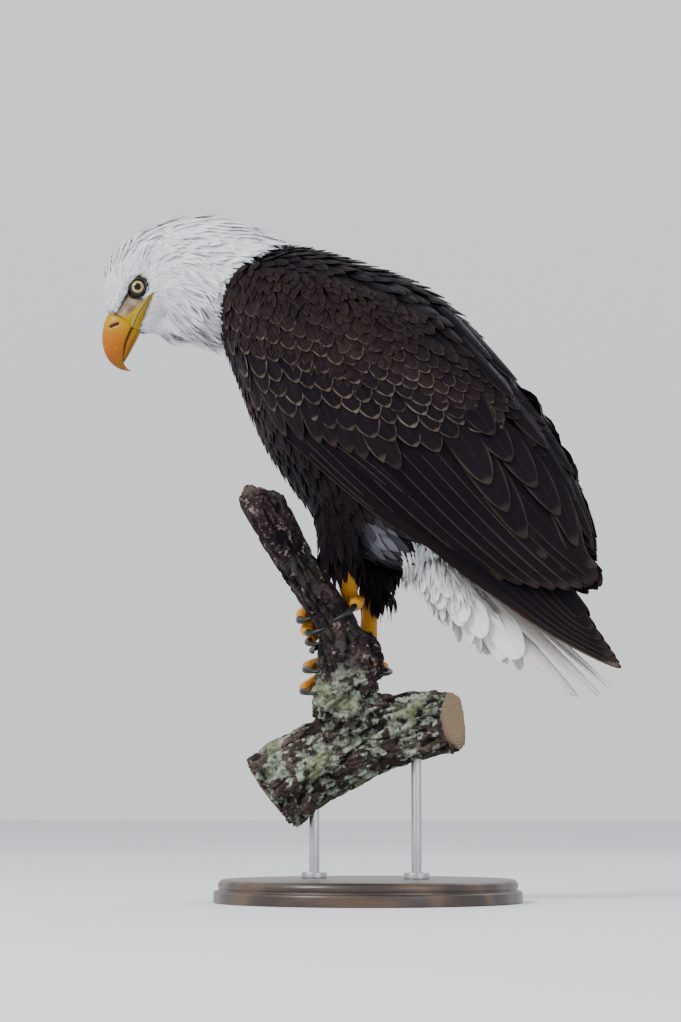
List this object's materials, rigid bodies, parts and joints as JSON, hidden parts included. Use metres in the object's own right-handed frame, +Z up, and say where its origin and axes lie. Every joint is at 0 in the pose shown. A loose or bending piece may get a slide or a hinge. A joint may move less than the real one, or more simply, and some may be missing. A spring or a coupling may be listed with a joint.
{
  "type": "bald eagle",
  "caption": "Adult bald eagle, life size, wings folded and head bowed, on a leaning stub of cut tree limb that steel rods hold over a round base.",
  "frame": {"origin": "centre of the underside of the stand's round base", "axes": "+Z up; the bird faces -X, its left side is at -Y and its tail at +X"},
  "size_m": [0.5974, 0.35, 0.7908],
  "materials": {
    "brown_feathers": "dark brown feathers, pale at their edges",
    "white_feathers": "white feathers",
    "bill": "smooth yellow horn",
    "feet": "scaled yellow skin",
    "claws": "polished black horn",
    "eyes": "wet pale yellow iris and black pupil",
    "bark": "rough bark with lichen",
    "stand_wood": "satin dark wood",
    "steel": "brushed"
  },
  "bodies": {
    "root": {"trunk": "brown_feathers", "neck": "white_feathers", "head": "white_feathers", "upper_bill": "bill", "lower_bill": "bill", "undertail": "white_feathers", "tail": "white_feathers", "eye_left": "eyes", "wing_left": "brown_feathers", "primaries_left": "brown_feathers", "thigh_left": "brown_feathers", "foot_left": "feet", "claw_left_inner": "claws", "claw_left_middle": "claws", "claw_left_outer": "claws", "claw_left_hind": "claws", "eye_right": "eyes", "wing_right": "brown_feathers", "primaries_right": "brown_feathers", "thigh_right": "brown_feathers", "foot_right": "feet", "claw_right_inner": "claws", "claw_right_middle": "claws", "claw_right_outer": "claws", "claw_right_hind": "claws", "perch_stub": "bark", "perch_limb": "bark", "stand_base": "stand_wood", "stand_rod_1": "steel", "stand_collar_1": "steel", "stand_rod_2": "steel", "stand_collar_2": "steel"}
  },
  "joints": []
}
